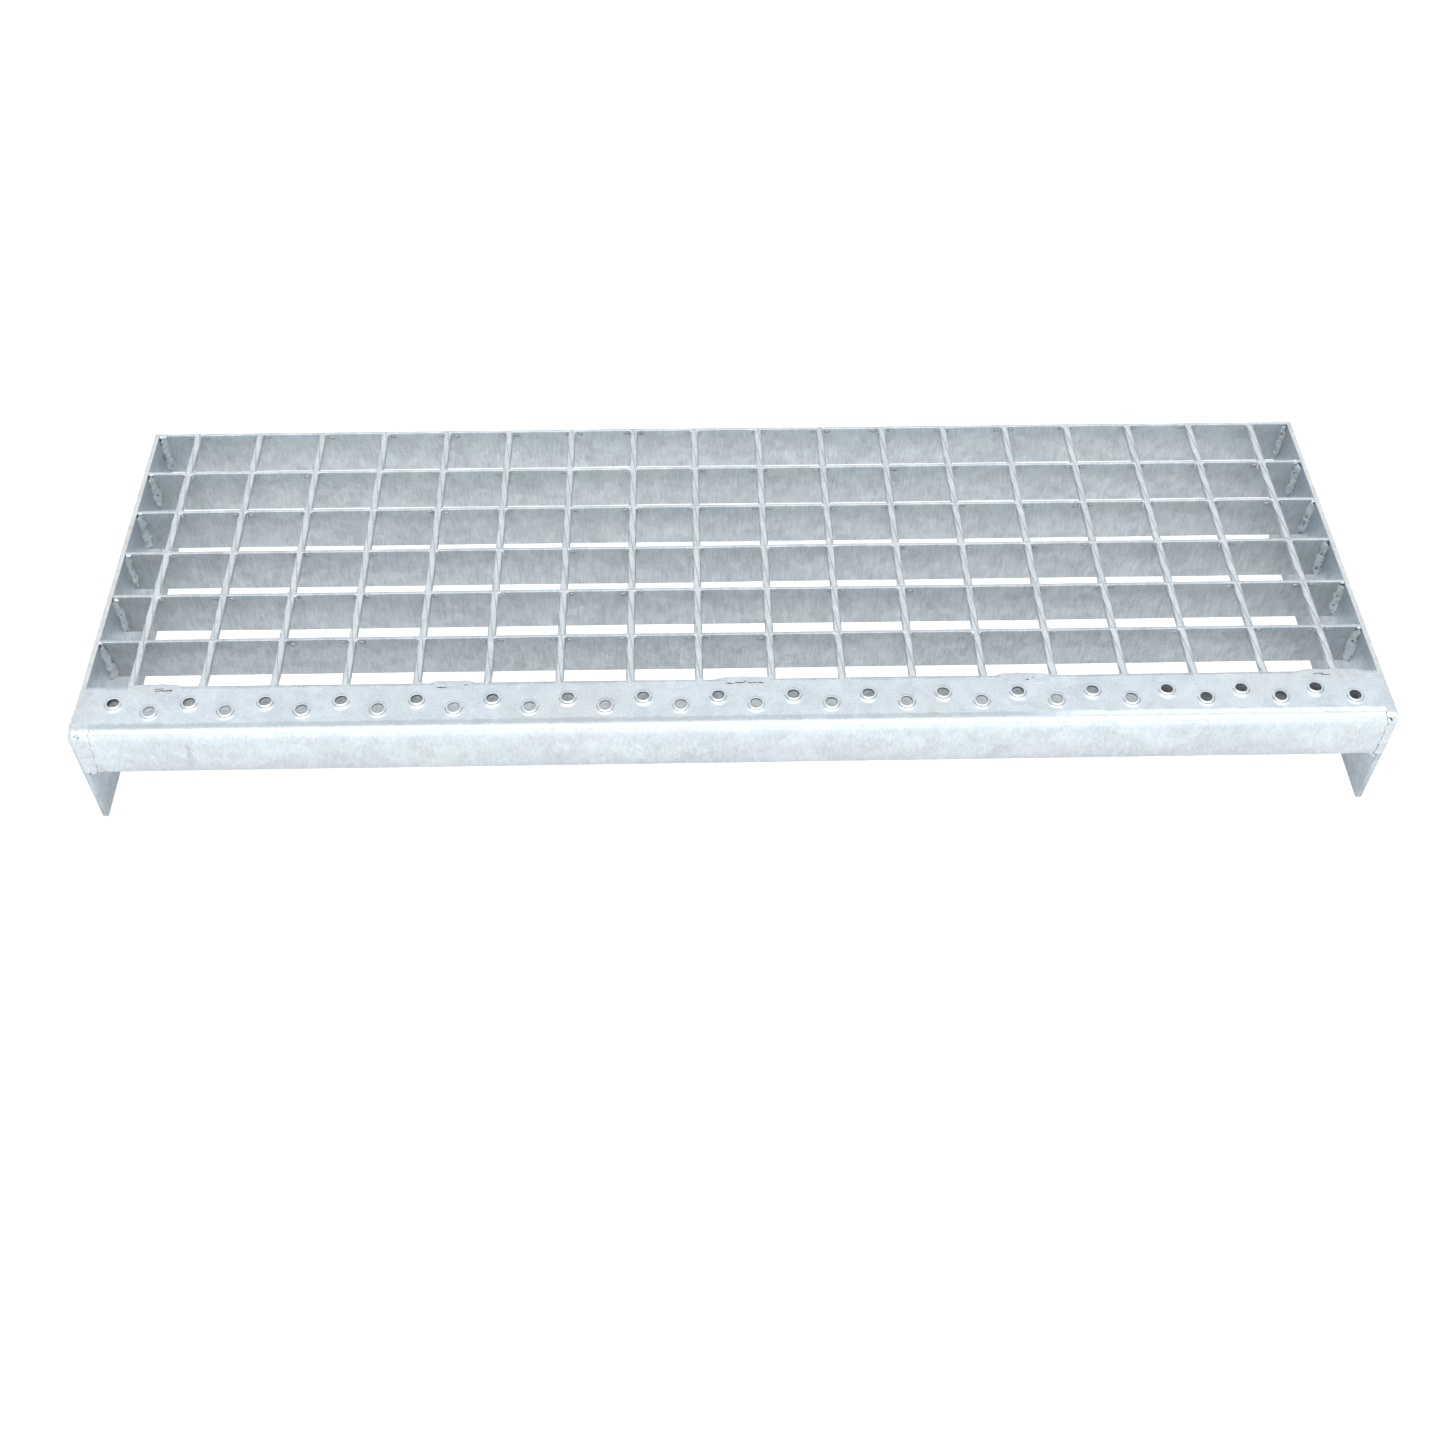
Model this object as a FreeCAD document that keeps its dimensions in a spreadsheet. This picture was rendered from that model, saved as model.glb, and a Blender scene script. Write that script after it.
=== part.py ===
import FreeCAD, Part
import math
import os

import Sketcher
from FreeCAD import Placement, Rotation, Vector

# Galvanised steel stair tread of forge-welded grating, in millimetres.
# +X runs along the tread, +Y from its front edge to its rear edge, +Z up.
# The origin is under the middle of the tread, on the plane of the end plates' lower edges.

DIMENSIONS = [
    ("tread_length", 700.0, "between the outer faces of the end plates"),
    ("tread_depth", 240.0, "front face of the nosing to the rear edge of the end plates"),
    ("plate_height", 70.0, "end plate, lower edge to upper edge"),
    ("plate_thickness", 3.0, "end plate"),
    ("plate_chamfer_along", 30.0, "cut-off rear lower corner, measured along the lower edge"),
    ("plate_chamfer_up", 35.0, "cut-off rear lower corner, measured up the rear edge"),
    ("plate_tip_radius", 2.0, "rounded front lower corner of the end plate"),
    ("fixing_hole_diameter", 14.0, "front fixing hole, for an M12 bolt"),
    ("fixing_hole_spacing", 120.0, "front fixing hole to the middle of the rear slot"),
    ("fixing_hole_height", 15.0, "lower edge of the end plate to the hole's middle"),
    ("slot_length", 30.0, "rear fixing slot, end to end"),
    ("bar_count", 7.0, "bearing bars"),
    ("bar_height", 28.0, "bearing bar, upright"),
    ("bar_thickness", 2.0, "bearing bar"),
    ("bar_pitch", 34.3, "bearing bar to bearing bar"),
    ("cross_count", 18.0, "cross bars"),
    ("cross_pitch", 38.1, "cross bar to cross bar"),
    ("cross_side", 4.0, "side of the square cross bar"),
    ("cross_drop", 0.4, "top of the bearing bars down to the flat of a cross bar in its notch"),
    ("twist_per_bay", 90.0, "turn of a cross bar between two bearing bars, in degrees"),
    ("twist_steps", 6.0, "straight-ruled steps that make up the turn of one bay"),
    ("nosing_drop", 30.0, "front face of the nosing, upright"),
    ("nosing_thickness", 3.0, "folded sheet of the nosing"),
    ("nosing_bend_radius", 6.5, "outside of the fold"),
    ("crater_count", 17.0, "craters in each of the two rows"),
    ("crater_spacing", 40.0, "crater to crater in one row"),
    ("crater_hole_diameter", 6.0, "hole in a crater"),
    ("crater_lip_diameter", 7.2, "upper rim of a crater"),
    ("crater_base_diameter", 10.5, "foot of a crater"),
    ("crater_rise", 1.8, "height of a crater above the nosing"),
    ("rear_row_setback", 21.7, "front face to the rear row of craters"),
    ("front_row_setback", 15.7, "front face to the front row of craters"),
    ("weld_gap", 2.0, "gap at each end of the nosing, filled with weld"),
    ("weld_leg", 3.5, "leg of the fillet weld between a bearing bar and an end plate"),
    ("weld_margin", 3.0, "lower edge of a bearing bar to the lower end of its weld"),
    ("weld_top_margin", 1.0, "top of a bearing bar to the upper end of its weld"),
    ("stitch_width", 5.2, "stitch weld that holds the nosing to the front bearing bar"),
    ("stitch_onto_nosing", 2.0, "part of that width that lies on the nosing"),
    ("stitch_rise", 0.9, "height of a stitch weld"),
    ("stitch_edge", 1.2, "width of the sloping side of a stitch weld"),
]

# Middle of each stitch weld along X, and its length.
STITCH_WELDS = [(-310.0, 30.0), (-152.0, 32.0), (5.0, 30.0), (155.0, 32.0), (324.0, 40.0)]

doc = FreeCAD.newDocument("stair_tread")
sheet = doc.addObject("Spreadsheet::Sheet", "Dimensions")
for row, (alias, value, meaning) in enumerate(DIMENSIONS, start=1):
    sheet.set(f"A{row}", alias)
    sheet.set(f"B{row}", str(value))
    sheet.set(f"C{row}", meaning)
    sheet.setAlias(f"B{row}", alias)
for number, (middle, length) in enumerate(STITCH_WELDS, start=1):
    row = len(DIMENSIONS) + number
    sheet.set(f"A{row}", f"stitch weld {number}, middle and length")
    sheet.set(f"B{row}", str(middle))
    sheet.set(f"C{row}", str(length))
    sheet.setAlias(f"B{row}", f"stitch_middle_{number}")
    sheet.setAlias(f"C{row}", f"stitch_length_{number}")
doc.recompute()

BAR_COUNT = int(sheet.bar_count)
CROSS_COUNT = int(sheet.cross_count)

# Lengths that follow from the driving dimensions, as expressions for the sketches and features.
INNER_LENGTH = "(Dimensions.tread_length - 2 * Dimensions.plate_thickness)"
NOSING_DEPTH = (
    "(Dimensions.tread_depth - (Dimensions.bar_count - 1) * Dimensions.bar_pitch"
    " - Dimensions.bar_thickness)"
)
CROSS_RUN = "((Dimensions.cross_count - 1) * Dimensions.cross_pitch)"
NOTCH_DEPTH = "(Dimensions.cross_side + Dimensions.cross_drop)"

# The same places as numbers, for the placements.
inner_half = sheet.tread_length / 2 - sheet.plate_thickness
front_y = -sheet.tread_depth / 2
first_bar_y = sheet.tread_depth / 2 - (sheet.bar_count - 1) * sheet.bar_pitch - sheet.bar_thickness
top_z = sheet.plate_height
bar_foot_z = sheet.plate_height - sheet.bar_height


def new_body(label, x, y, z):
    """A body whose own origin is placed at x, y, z; its label names its file."""
    body = doc.addObject("PartDesign::Body", label)
    body.Label = label
    body.AllowCompound = True
    body.Placement = Placement(Vector(x, y, z), Rotation())
    return body


def origin_feature(body, role):
    """One of the body's own origin planes or axes."""
    return next(feature for feature in body.Origin.OriginFeatures if feature.Role == role)


def new_sketch(body, name, plane):
    """An empty sketch on one of the body's own origin planes."""
    sketch = body.newObject("Sketcher::SketchObject", name)
    sketch.AttachmentSupport = [(origin_feature(body, plane), "")]
    sketch.MapMode = "FlatFace"
    return sketch


def pin_point(sketch, geometry, point, across, up):
    """Fixes one point of a sketch at two sheet expressions from the sketch's origin."""
    for kind, expression, axis in (("DistanceX", across, -2), ("DistanceY", up, -1)):
        if expression == "0":
            sketch.addConstraint(Sketcher.Constraint("PointOnObject", geometry, point, axis))
            continue
        value = float(sketch.evalExpression(expression))
        index = sketch.addConstraint(Sketcher.Constraint(kind, -1, 1, geometry, point, value))
        sketch.setExpression(f"Constraints[{index}]", expression)


def draw_outline(sketch, corners):
    """Draws a closed outline; each corner is a pair of sheet expressions."""
    points = []
    for across, up in corners:
        points.append(Vector(sketch.evalExpression(across), sketch.evalExpression(up), 0))
    count = len(points)
    for index in range(count):
        line = Part.LineSegment(points[index], points[(index + 1) % count])
        sketch.addGeometry(line, False)
    for index in range(count):
        joint = Sketcher.Constraint("Coincident", index, 2, (index + 1) % count, 1)
        sketch.addConstraint(joint)
    for index, (across, up) in enumerate(corners):
        pin_point(sketch, index, 1, across, up)


def draw_circle(sketch, diameter, across, up):
    """Draws a circle whose diameter and middle are sheet expressions."""
    radius = float(sketch.evalExpression(diameter)) / 2
    middle = Vector(sketch.evalExpression(across), sketch.evalExpression(up), 0)
    circle = sketch.addGeometry(Part.Circle(middle, Vector(0, 0, 1), radius), False)
    size = sketch.addConstraint(Sketcher.Constraint("Diameter", circle, 2 * radius))
    sketch.setExpression(f"Constraints[{size}]", diameter)
    pin_point(sketch, circle, 3, across, up)


def add_pad(body, sketch, length, reverse=False):
    """Pads a sketch along its plane's normal, or against it."""
    pad = body.newObject("PartDesign::Pad", f"{sketch.Name}_pad")
    pad.Profile = sketch
    pad.Reversed = reverse
    pad.setExpression("Length", length)
    doc.recompute()
    return pad


def cut_through(body, sketch, reverse):
    """Pockets a sketch right through the body, and stops if nothing was cut."""
    volume_before = body.Shape.Volume
    pocket = body.newObject("PartDesign::Pocket", f"{sketch.Name}_pocket")
    pocket.Profile = sketch
    pocket.Type = "ThroughAll"
    pocket.Reversed = reverse
    doc.recompute()
    if body.Shape.Volume > volume_before - 1.0:
        raise RuntimeError(f"{pocket.Name} cut nothing")
    return pocket


def add_row(body, features, axis, length, occurrences):
    """Repeats features in an evenly spaced row along one of the body's own axes."""
    pattern = body.newObject("PartDesign::LinearPattern", f"{features[0].Name}_row")
    pattern.Originals = features
    pattern.Direction = (origin_feature(body, axis), [""])
    pattern.Mode = "Extent"
    pattern.setExpression("Length", length)
    pattern.setExpression("Occurrences", occurrences)
    body.Tip = pattern
    doc.recompute()
    return pattern


def edge_near(shape, x, y, z):
    """The name of the edge whose middle is nearest to a point."""
    place = Vector(x, y, z)
    distances = [edge.CenterOfMass.distanceToPoint(place) for edge in shape.Edges]
    return f"Edge{distances.index(min(distances)) + 1}"


def round_edge(body, name, x, y, z, radius):
    """Rounds the edge nearest to a point; the radius is a sheet expression."""
    base = body.Tip
    fillet = body.newObject("PartDesign::Fillet", name)
    fillet.Base = (base, [edge_near(base.Shape, x, y, z)])
    fillet.setExpression("Radius", radius)
    doc.recompute()
    return fillet


def make_end_plate(label, x):
    """Upright plate with a rounded nose, a cut-off rear corner, a fixing hole and a slot."""
    body = new_body(label, x, front_y, 0)
    outline = new_sketch(body, f"{label}_outline", "YZ_Plane")
    depth, height = "Dimensions.tread_depth", "Dimensions.plate_height"
    draw_outline(outline, [("0", "0"), (depth, "0"), (depth, height), ("0", height)])
    add_pad(body, outline, "Dimensions.plate_thickness")

    middle = sheet.plate_thickness / 2
    slab = body.Tip
    chamfer = body.newObject("PartDesign::Chamfer", f"{label}_rear_corner")
    chamfer.Base = (slab, [edge_near(slab.Shape, middle, sheet.tread_depth, 0)])
    chamfer.ChamferType = "Two distances"
    chamfer.setExpression("Size", "Dimensions.plate_chamfer_along")
    chamfer.setExpression("Size2", "Dimensions.plate_chamfer_up")
    doc.recompute()
    round_edge(body, f"{label}_nose", middle, 0, top_z, "Dimensions.nosing_bend_radius")
    round_edge(body, f"{label}_tip", middle, 0, 0, "Dimensions.plate_tip_radius")

    hole_y = "((Dimensions.tread_depth - Dimensions.fixing_hole_spacing) / 2)"
    hole = new_sketch(body, f"{label}_fixing_hole", "YZ_Plane")
    draw_circle(hole, "Dimensions.fixing_hole_diameter", hole_y, "Dimensions.fixing_hole_height")
    cut_through(body, hole, True)

    # The slot is its straight middle, cut first, and a round end at each side of it.
    slot_y = f"({hole_y} + Dimensions.fixing_hole_spacing)"
    reach = "(Dimensions.slot_length - Dimensions.fixing_hole_diameter) / 2"
    low = "Dimensions.fixing_hole_height - Dimensions.fixing_hole_diameter / 2"
    high = "Dimensions.fixing_hole_height + Dimensions.fixing_hole_diameter / 2"
    front, rear = f"{slot_y} - {reach}", f"{slot_y} + {reach}"
    slot = new_sketch(body, f"{label}_slot", "YZ_Plane")
    draw_outline(slot, [(front, low), (rear, low), (rear, high), (front, high)])
    cut_through(body, slot, True)
    for name, place in (("front", front), ("rear", rear)):
        end = new_sketch(body, f"{label}_slot_{name}", "YZ_Plane")
        draw_circle(end, "Dimensions.fixing_hole_diameter", place, "Dimensions.fixing_hole_height")
        cut_through(body, end, True)
    return body


def make_bearing_bar(number):
    """Flat bar on edge, with a row of notches that the cross bars are forged into."""
    label = f"bearing_bar_{number}"
    y = first_bar_y + (number - 1) * sheet.bar_pitch
    body = new_body(label, -inner_half, y, bar_foot_z)
    outline = new_sketch(body, f"{label}_outline", "XZ_Plane")
    height = "Dimensions.bar_height"
    draw_outline(outline, [("0", "0"), (INNER_LENGTH, "0"), (INNER_LENGTH, height), ("0", height)])
    add_pad(body, outline, "Dimensions.bar_thickness", reverse=True)

    left = f"(({INNER_LENGTH} - {CROSS_RUN} - Dimensions.cross_side) / 2)"
    right = f"({left} + Dimensions.cross_side)"
    floor = f"({height} - {NOTCH_DEPTH})"
    notch = new_sketch(body, f"{label}_notch", "XZ_Plane")
    draw_outline(notch, [(left, floor), (right, floor), (right, height), (left, height)])
    pocket = cut_through(body, notch, False)
    add_row(body, [pocket], "X_Axis", CROSS_RUN, "Dimensions.cross_count")
    return body


def square_wire(side, y, turn):
    """A square about the Y axis, turned by an angle in degrees."""
    reach = side / math.sqrt(2)
    corners = []
    for quarter in range(5):
        angle = math.radians(45 + turn + 90 * quarter)
        corners.append(Vector(reach * math.cos(angle), y, reach * math.sin(angle)))
    return Part.makePolygon(corners)


def twisted_bar_shape():
    """Square bar that lies straight inside each bearing bar and turns in each bay between them."""
    steps = int(sheet.twist_steps)
    bay = sheet.bar_pitch - sheet.bar_thickness
    sections = []
    for crossing in range(BAR_COUNT):
        y = crossing * sheet.bar_pitch
        turn = crossing * sheet.twist_per_bay
        sections.append(square_wire(sheet.cross_side, y, turn))
        sections.append(square_wire(sheet.cross_side, y + sheet.bar_thickness, turn))
        if crossing == BAR_COUNT - 1:
            break
        for step in range(1, steps):
            share = step / steps
            y_step = y + sheet.bar_thickness + share * bay
            sections.append(square_wire(sheet.cross_side, y_step, turn + share * sheet.twist_per_bay))
    return Part.makeLoft(sections, True, True)


def make_cross_bar(number, shape):
    """One twisted bar, flush in the notches of all the bearing bars."""
    x = (number - 1 - (CROSS_COUNT - 1) / 2) * sheet.cross_pitch
    z = top_z - sheet.cross_drop - sheet.cross_side / 2
    bar = doc.addObject("Part::Feature", f"cross_bar_{number:02d}")
    bar.Label = f"cross_bar_{number:02d}"
    bar.Shape = shape.copy()
    bar.Placement = Placement(Vector(x, first_bar_y, z), Rotation())
    return bar


def make_folded_strip(label, x, length):
    """Strip with the nosing's section: flat on top, folded down at the front."""
    body = new_body(label, x, front_y, top_z - sheet.nosing_drop)
    drop, thickness = "Dimensions.nosing_drop", "Dimensions.nosing_thickness"
    outline = new_sketch(body, f"{label}_outline", "YZ_Plane")
    draw_outline(outline, [
        ("0", "0"),
        (thickness, "0"),
        (thickness, f"{drop} - {thickness}"),
        (NOSING_DEPTH, f"{drop} - {thickness}"),
        (NOSING_DEPTH, drop),
        ("0", drop),
    ])
    add_pad(body, outline, length)
    middle = float(outline.evalExpression(length)) / 2
    inside = sheet.nosing_thickness
    outer = "Dimensions.nosing_bend_radius"
    round_edge(body, f"{label}_fold_out", middle, 0, sheet.nosing_drop, outer)
    inner = f"{outer} - {thickness}"
    round_edge(body, f"{label}_fold_in", middle, inside, sheet.nosing_drop - inside, inner)
    return body


def add_crater_row(body, name, x, setback):
    """Row of holes pressed upwards, so that each stands in a low crater."""
    base = "Dimensions.crater_base_diameter / 2"
    lip = "Dimensions.crater_lip_diameter / 2"
    hole = "Dimensions.crater_hole_diameter / 2"
    rise, thickness = "Dimensions.crater_rise", "Dimensions.nosing_thickness"
    depth = f"(-1 * {thickness})"

    def place(sketch):
        sketch.AttachmentOffset = Placement(Vector(0, 0, x), Rotation())
        sketch.setExpression(".AttachmentOffset.Base.x", setback)
        sketch.setExpression(".AttachmentOffset.Base.y", "Dimensions.nosing_drop")

    cone = new_sketch(body, f"{name}_cone", "YZ_Plane")
    place(cone)
    root = f"{depth} / 3"
    draw_outline(cone, [("0", root), (base, root), (base, "0"), (lip, rise), ("0", rise)])
    crater = body.newObject("PartDesign::Revolution", f"{name}_crater")
    crater.Profile = cone
    crater.ReferenceAxis = (cone, ["V_Axis"])
    doc.recompute()

    # The hole runs through the sheet and opens out below, where the punch pushed the metal up.
    volume_before = body.Shape.Volume
    bore = new_sketch(body, f"{name}_bore", "YZ_Plane")
    place(bore)
    draw_outline(bore, [
        ("0", f"{depth} - {rise}"),
        (lip, f"{depth} - {rise}"),
        (lip, depth),
        (hole, f"{depth} + {rise}"),
        (hole, f"2 * {rise}"),
        ("0", f"2 * {rise}"),
    ])
    groove = body.newObject("PartDesign::Groove", f"{name}_hole")
    groove.Profile = bore
    groove.ReferenceAxis = (bore, ["V_Axis"])
    doc.recompute()
    if body.Shape.Volume > volume_before - 1.0:
        raise RuntimeError(f"{groove.Name} cut nothing")
    run = "(Dimensions.crater_count - 1) * Dimensions.crater_spacing"
    add_row(body, [crater, groove], "X_Axis", run, "Dimensions.crater_count")


def make_nosing():
    """Folded front edge with two staggered rows of craters."""
    length = f"{INNER_LENGTH} - 2 * Dimensions.weld_gap"
    half_length = inner_half - sheet.weld_gap
    body = make_folded_strip("nosing", -half_length, length)
    row_run = (sheet.crater_count - 1) * sheet.crater_spacing
    stagger = sheet.crater_spacing / 4
    rear_start = half_length - row_run / 2 - stagger
    front_start = half_length - row_run / 2 + stagger
    add_crater_row(body, "rear_row", rear_start, "Dimensions.rear_row_setback")
    add_crater_row(body, "front_row", front_start, "Dimensions.front_row_setback")
    return body


def make_bar_end_welds(label, x, side):
    """Upright fillet welds that join the front faces of the bearing bars to one end plate."""
    body = new_body(label, x, first_bar_y, bar_foot_z + sheet.weld_margin)
    leg = "Dimensions.weld_leg"
    run = "(Dimensions.bar_height - Dimensions.weld_margin"
    # The front bearing bar's weld stops under the nosing; the others reach nearly to the top.
    heights = [
        ("first", "0", f"{run} - Dimensions.nosing_thickness)"),
        ("next", "Dimensions.bar_pitch", f"{run} - Dimensions.weld_top_margin)"),
    ]
    for name, y, height in heights:
        fillet = new_sketch(body, f"{label}_{name}", "XY_Plane")
        draw_outline(fillet, [("0", y), (f"{side} * {leg}", y), ("0", f"{y} - {leg}")])
        weld = add_pad(body, fillet, height)
    row = "(Dimensions.bar_count - 2) * Dimensions.bar_pitch"
    add_row(body, [weld], "Y_Axis", row, "Dimensions.bar_count - 1")
    return body


def make_stitch_welds():
    """Short flat welds over the seam between the nosing and the front bearing bar."""
    body = new_body("nosing_stitch_welds", 0, first_bar_y, top_z)
    front, edge = "(-1 * Dimensions.stitch_onto_nosing)", "Dimensions.stitch_edge"
    rear = f"({front} + Dimensions.stitch_width)"
    for number in range(1, len(STITCH_WELDS) + 1):
        middle, length = f"Dimensions.stitch_middle_{number}", f"Dimensions.stitch_length_{number}"
        bead = new_sketch(body, f"stitch_{number}", "YZ_Plane")
        bead.setExpression(".AttachmentOffset.Base.z", f"{middle} - {length} / 2")
        draw_outline(bead, [
            (front, "0"),
            (rear, "0"),
            (f"{rear} - {edge}", "Dimensions.stitch_rise"),
            (f"{front} + {edge}", "Dimensions.stitch_rise"),
        ])
        add_pad(body, bead, length)
    return body


def build_parts():
    """All the sub-parts, in the order in which the tread is put together."""
    parts = [make_bearing_bar(number) for number in range(1, BAR_COUNT + 1)]
    shape = twisted_bar_shape()
    parts += [make_cross_bar(number, shape) for number in range(1, CROSS_COUNT + 1)]
    parts.append(make_end_plate("end_plate_left", -sheet.tread_length / 2))
    parts.append(make_end_plate("end_plate_right", inner_half))
    parts.append(make_nosing())
    parts.append(make_bar_end_welds("bar_end_welds_left", -inner_half, 1))
    parts.append(make_bar_end_welds("bar_end_welds_right", inner_half, -1))
    gap = "Dimensions.weld_gap"
    parts.append(make_folded_strip("nosing_end_weld_left", -inner_half, gap))
    parts.append(make_folded_strip("nosing_end_weld_right", inner_half - sheet.weld_gap, gap))
    parts.append(make_stitch_welds())
    return parts


def check_document(parts):
    """Stops the build if any object failed or any sub-part has no sound shape."""
    for item in doc.Objects:
        if "Invalid" in item.State or "Error" in item.State:
            raise RuntimeError(f"{item.Name} failed: {item.State}")
    for part in parts:
        if part.Shape.isNull() or not part.Shape.isValid():
            raise RuntimeError(f"{part.Label} has no sound shape")


def write_parts(parts):
    """Writes one STEP file for each sub-part and prints its size."""
    os.makedirs("parts", exist_ok=True)
    for part in parts:
        part.Shape.exportStep(f"parts/{part.Label}.step")
        box = part.Shape.BoundBox
        print(
            f"{part.Label:24s} solids {len(part.Shape.Solids):2d}  volume {part.Shape.Volume:9.1f}"
            f"  x {box.XMin:8.2f} {box.XMax:8.2f}  y {box.YMin:8.2f} {box.YMax:8.2f}"
            f"  z {box.ZMin:7.2f} {box.ZMax:7.2f}"
        )


tread_parts = build_parts()
doc.recompute()
check_document(tread_parts)
write_parts(tread_parts)
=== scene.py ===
# %% [markdown]
# # A galvanised stair tread, piece by piece
#
# This notebook dresses a steel stair tread: seven flat bearing bars on edge, eighteen twisted
# cross bars forged into them, a folded front edge with raised holes, and two bolt-on end plates,
# all dipped in zinc after welding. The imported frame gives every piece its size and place. Here
# each piece gets the soft edges, lumps and mottled zinc that the real one has.

# %% Load the frame
import math
import random

import bmesh
import bpy
import numpy as np
from mathutils import Matrix, Vector, noise


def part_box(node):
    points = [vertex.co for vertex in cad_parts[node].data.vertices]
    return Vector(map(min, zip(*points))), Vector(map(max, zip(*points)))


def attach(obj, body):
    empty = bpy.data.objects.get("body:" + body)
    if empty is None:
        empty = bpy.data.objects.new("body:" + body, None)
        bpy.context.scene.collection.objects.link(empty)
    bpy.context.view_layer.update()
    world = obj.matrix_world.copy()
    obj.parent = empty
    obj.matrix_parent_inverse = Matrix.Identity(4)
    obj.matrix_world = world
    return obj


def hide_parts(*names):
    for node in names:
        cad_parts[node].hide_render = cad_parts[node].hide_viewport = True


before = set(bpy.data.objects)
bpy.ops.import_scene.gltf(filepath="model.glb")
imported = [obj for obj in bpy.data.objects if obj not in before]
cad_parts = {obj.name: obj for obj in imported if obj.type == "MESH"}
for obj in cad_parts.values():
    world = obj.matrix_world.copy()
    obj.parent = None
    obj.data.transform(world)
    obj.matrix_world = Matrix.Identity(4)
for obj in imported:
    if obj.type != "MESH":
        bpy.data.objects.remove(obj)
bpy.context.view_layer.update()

MM = 0.001

# %% [markdown]
# ## Places read from the frame
#
# A maker lays out a grating from a few lines: where each bearing bar stands, where each cross bar
# lies, and how high the walking surface is. They could be typed in again, but reading them from
# the frame keeps the dressed pieces exactly where the design has them.

# %% Where the bars and plates are
BAR_NODES = sorted(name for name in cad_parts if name.startswith("bearing_bar"))
CROSS_NODES = sorted(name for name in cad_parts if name.startswith("cross_bar"))
bar_boxes = [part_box(name) for name in BAR_NODES]
cross_boxes = [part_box(name) for name in CROSS_NODES]
plate_boxes = {side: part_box(f"end_plate_{side}") for side in ("left", "right")}

top_z = bar_boxes[0][1].z
bar_thickness = bar_boxes[0][1].y - bar_boxes[0][0].y
bar_height = bar_boxes[0][1].z - bar_boxes[0][0].z
bar_pitch = bar_boxes[1][0].y - bar_boxes[0][0].y
bar_mids = [(low.y + high.y) / 2 for low, high in bar_boxes]
cross_mids = [(low.x + high.x) / 2 for low, high in cross_boxes]
cross_axis_z = (cross_boxes[0][0].z + cross_boxes[0][1].z) / 2
front_y = plate_boxes["left"][0].y
inner_half = bar_boxes[0][1].x
outer_half = plate_boxes["right"][1].x

# A real grating is never exact: these bars and rods sit a little off their drawn lines.
BAR_OFFSETS = {3: 0.2 * MM, 6: -0.65 * MM, 7: 0.3 * MM}
ROD_OFFSETS = {1: 0.35 * MM, 6: -0.3 * MM, 9: -0.95 * MM, 15: 0.25 * MM}
bar_lines = [y + BAR_OFFSETS.get(number, 0) for number, y in enumerate(bar_mids, start=1)]
rod_lines = [x + ROD_OFFSETS.get(number, 0) for number, x in enumerate(cross_mids, start=1)]
print("bars at y:", [round(y / MM, 1) for y in bar_mids], " top at z:", round(top_z / MM, 1))
print("bars in mm:", round(bar_thickness / MM, 1), "thick,", round(bar_height / MM, 1), "high")

# %% [markdown]
# ## Shaping tools
#
# Most pieces here are a section carried along a line: a flat bar, a twisted rod, a run of weld.
# One small function joins such rings into a closed tube. A second adds the slight swelling that
# molten zinc leaves on every face, so that no edge is perfectly straight and highlights wander.

# %% Rings into tubes
def join_rings(rings):
    """Points and faces of a closed tube through rings that all have the same number of points."""
    count = len(rings[0])
    points = [point for ring in rings for point in ring]
    faces = []
    for ring in range(len(rings) - 1):
        for place in range(count):
            here = ring * count + place
            beside = ring * count + (place + 1) % count
            faces.append((here, beside, beside + count, here + count))
    faces.append(tuple(reversed(range(count))))
    faces.append(tuple(range(len(points) - count, len(points))))
    return points, faces


def rounded_rectangle(width, height, radius, steps=3):
    """A rectangle about its middle, anticlockwise, with rounded corners."""
    outline = []
    for corner, (across, up) in enumerate(((1, 1), (-1, 1), (-1, -1), (1, -1))):
        for step in range(steps + 1):
            angle = math.radians(90) * (corner + step / steps)
            x = across * (width / 2 - radius) + radius * math.cos(angle)
            y = up * (height / 2 - radius) + radius * math.sin(angle)
            outline.append((x, y))
    return outline


def drift(place, wavelength, seed):
    """Smooth, repeatable unevenness between -1 and 1 along one direction."""
    return noise.noise(Vector((place / wavelength, seed * 7.31, seed * 1.17)))


print("corners round a bar's section:", len(rounded_rectangle(bar_thickness, bar_height, 0.5 * MM)))

# %% Points and faces into a piece of the tread
def add_piece(name, points, faces, finish, stands_for=(), swell=0.05 * MM, grain=9 * MM):
    """Makes a mesh piece, lets the zinc swell its surface a little, and puts it on the frame."""
    mesh = bpy.data.meshes.new(name)
    mesh.from_pydata([tuple(point) for point in points], [], faces)
    shell = bmesh.new()
    shell.from_mesh(mesh)
    bmesh.ops.remove_doubles(shell, verts=shell.verts, dist=0.001 * MM)
    bmesh.ops.recalc_face_normals(shell, faces=shell.faces)
    shell.normal_update()
    moves = [vertex.normal * swell * noise.noise(vertex.co / grain) for vertex in shell.verts]
    for vertex, move in zip(shell.verts, moves):
        vertex.co += move
    shell.to_mesh(mesh)
    shell.free()
    mesh.shade_smooth()
    mesh.set_sharp_from_angle(angle=math.radians(50))
    mesh.materials.append(finish)
    piece = bpy.data.objects.new(name, mesh)
    bpy.context.scene.collection.objects.link(piece)
    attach(piece, "root")
    if stands_for:
        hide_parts(*stands_for)
    return piece


def refinish(piece, finish, chosen):
    """Gives the faces that pass a test on their middle and direction a finish of their own."""
    piece.data.materials.append(finish)
    for face in piece.data.polygons:
        if chosen(face.center, face.normal):
            face.material_index = len(piece.data.materials) - 1


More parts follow.
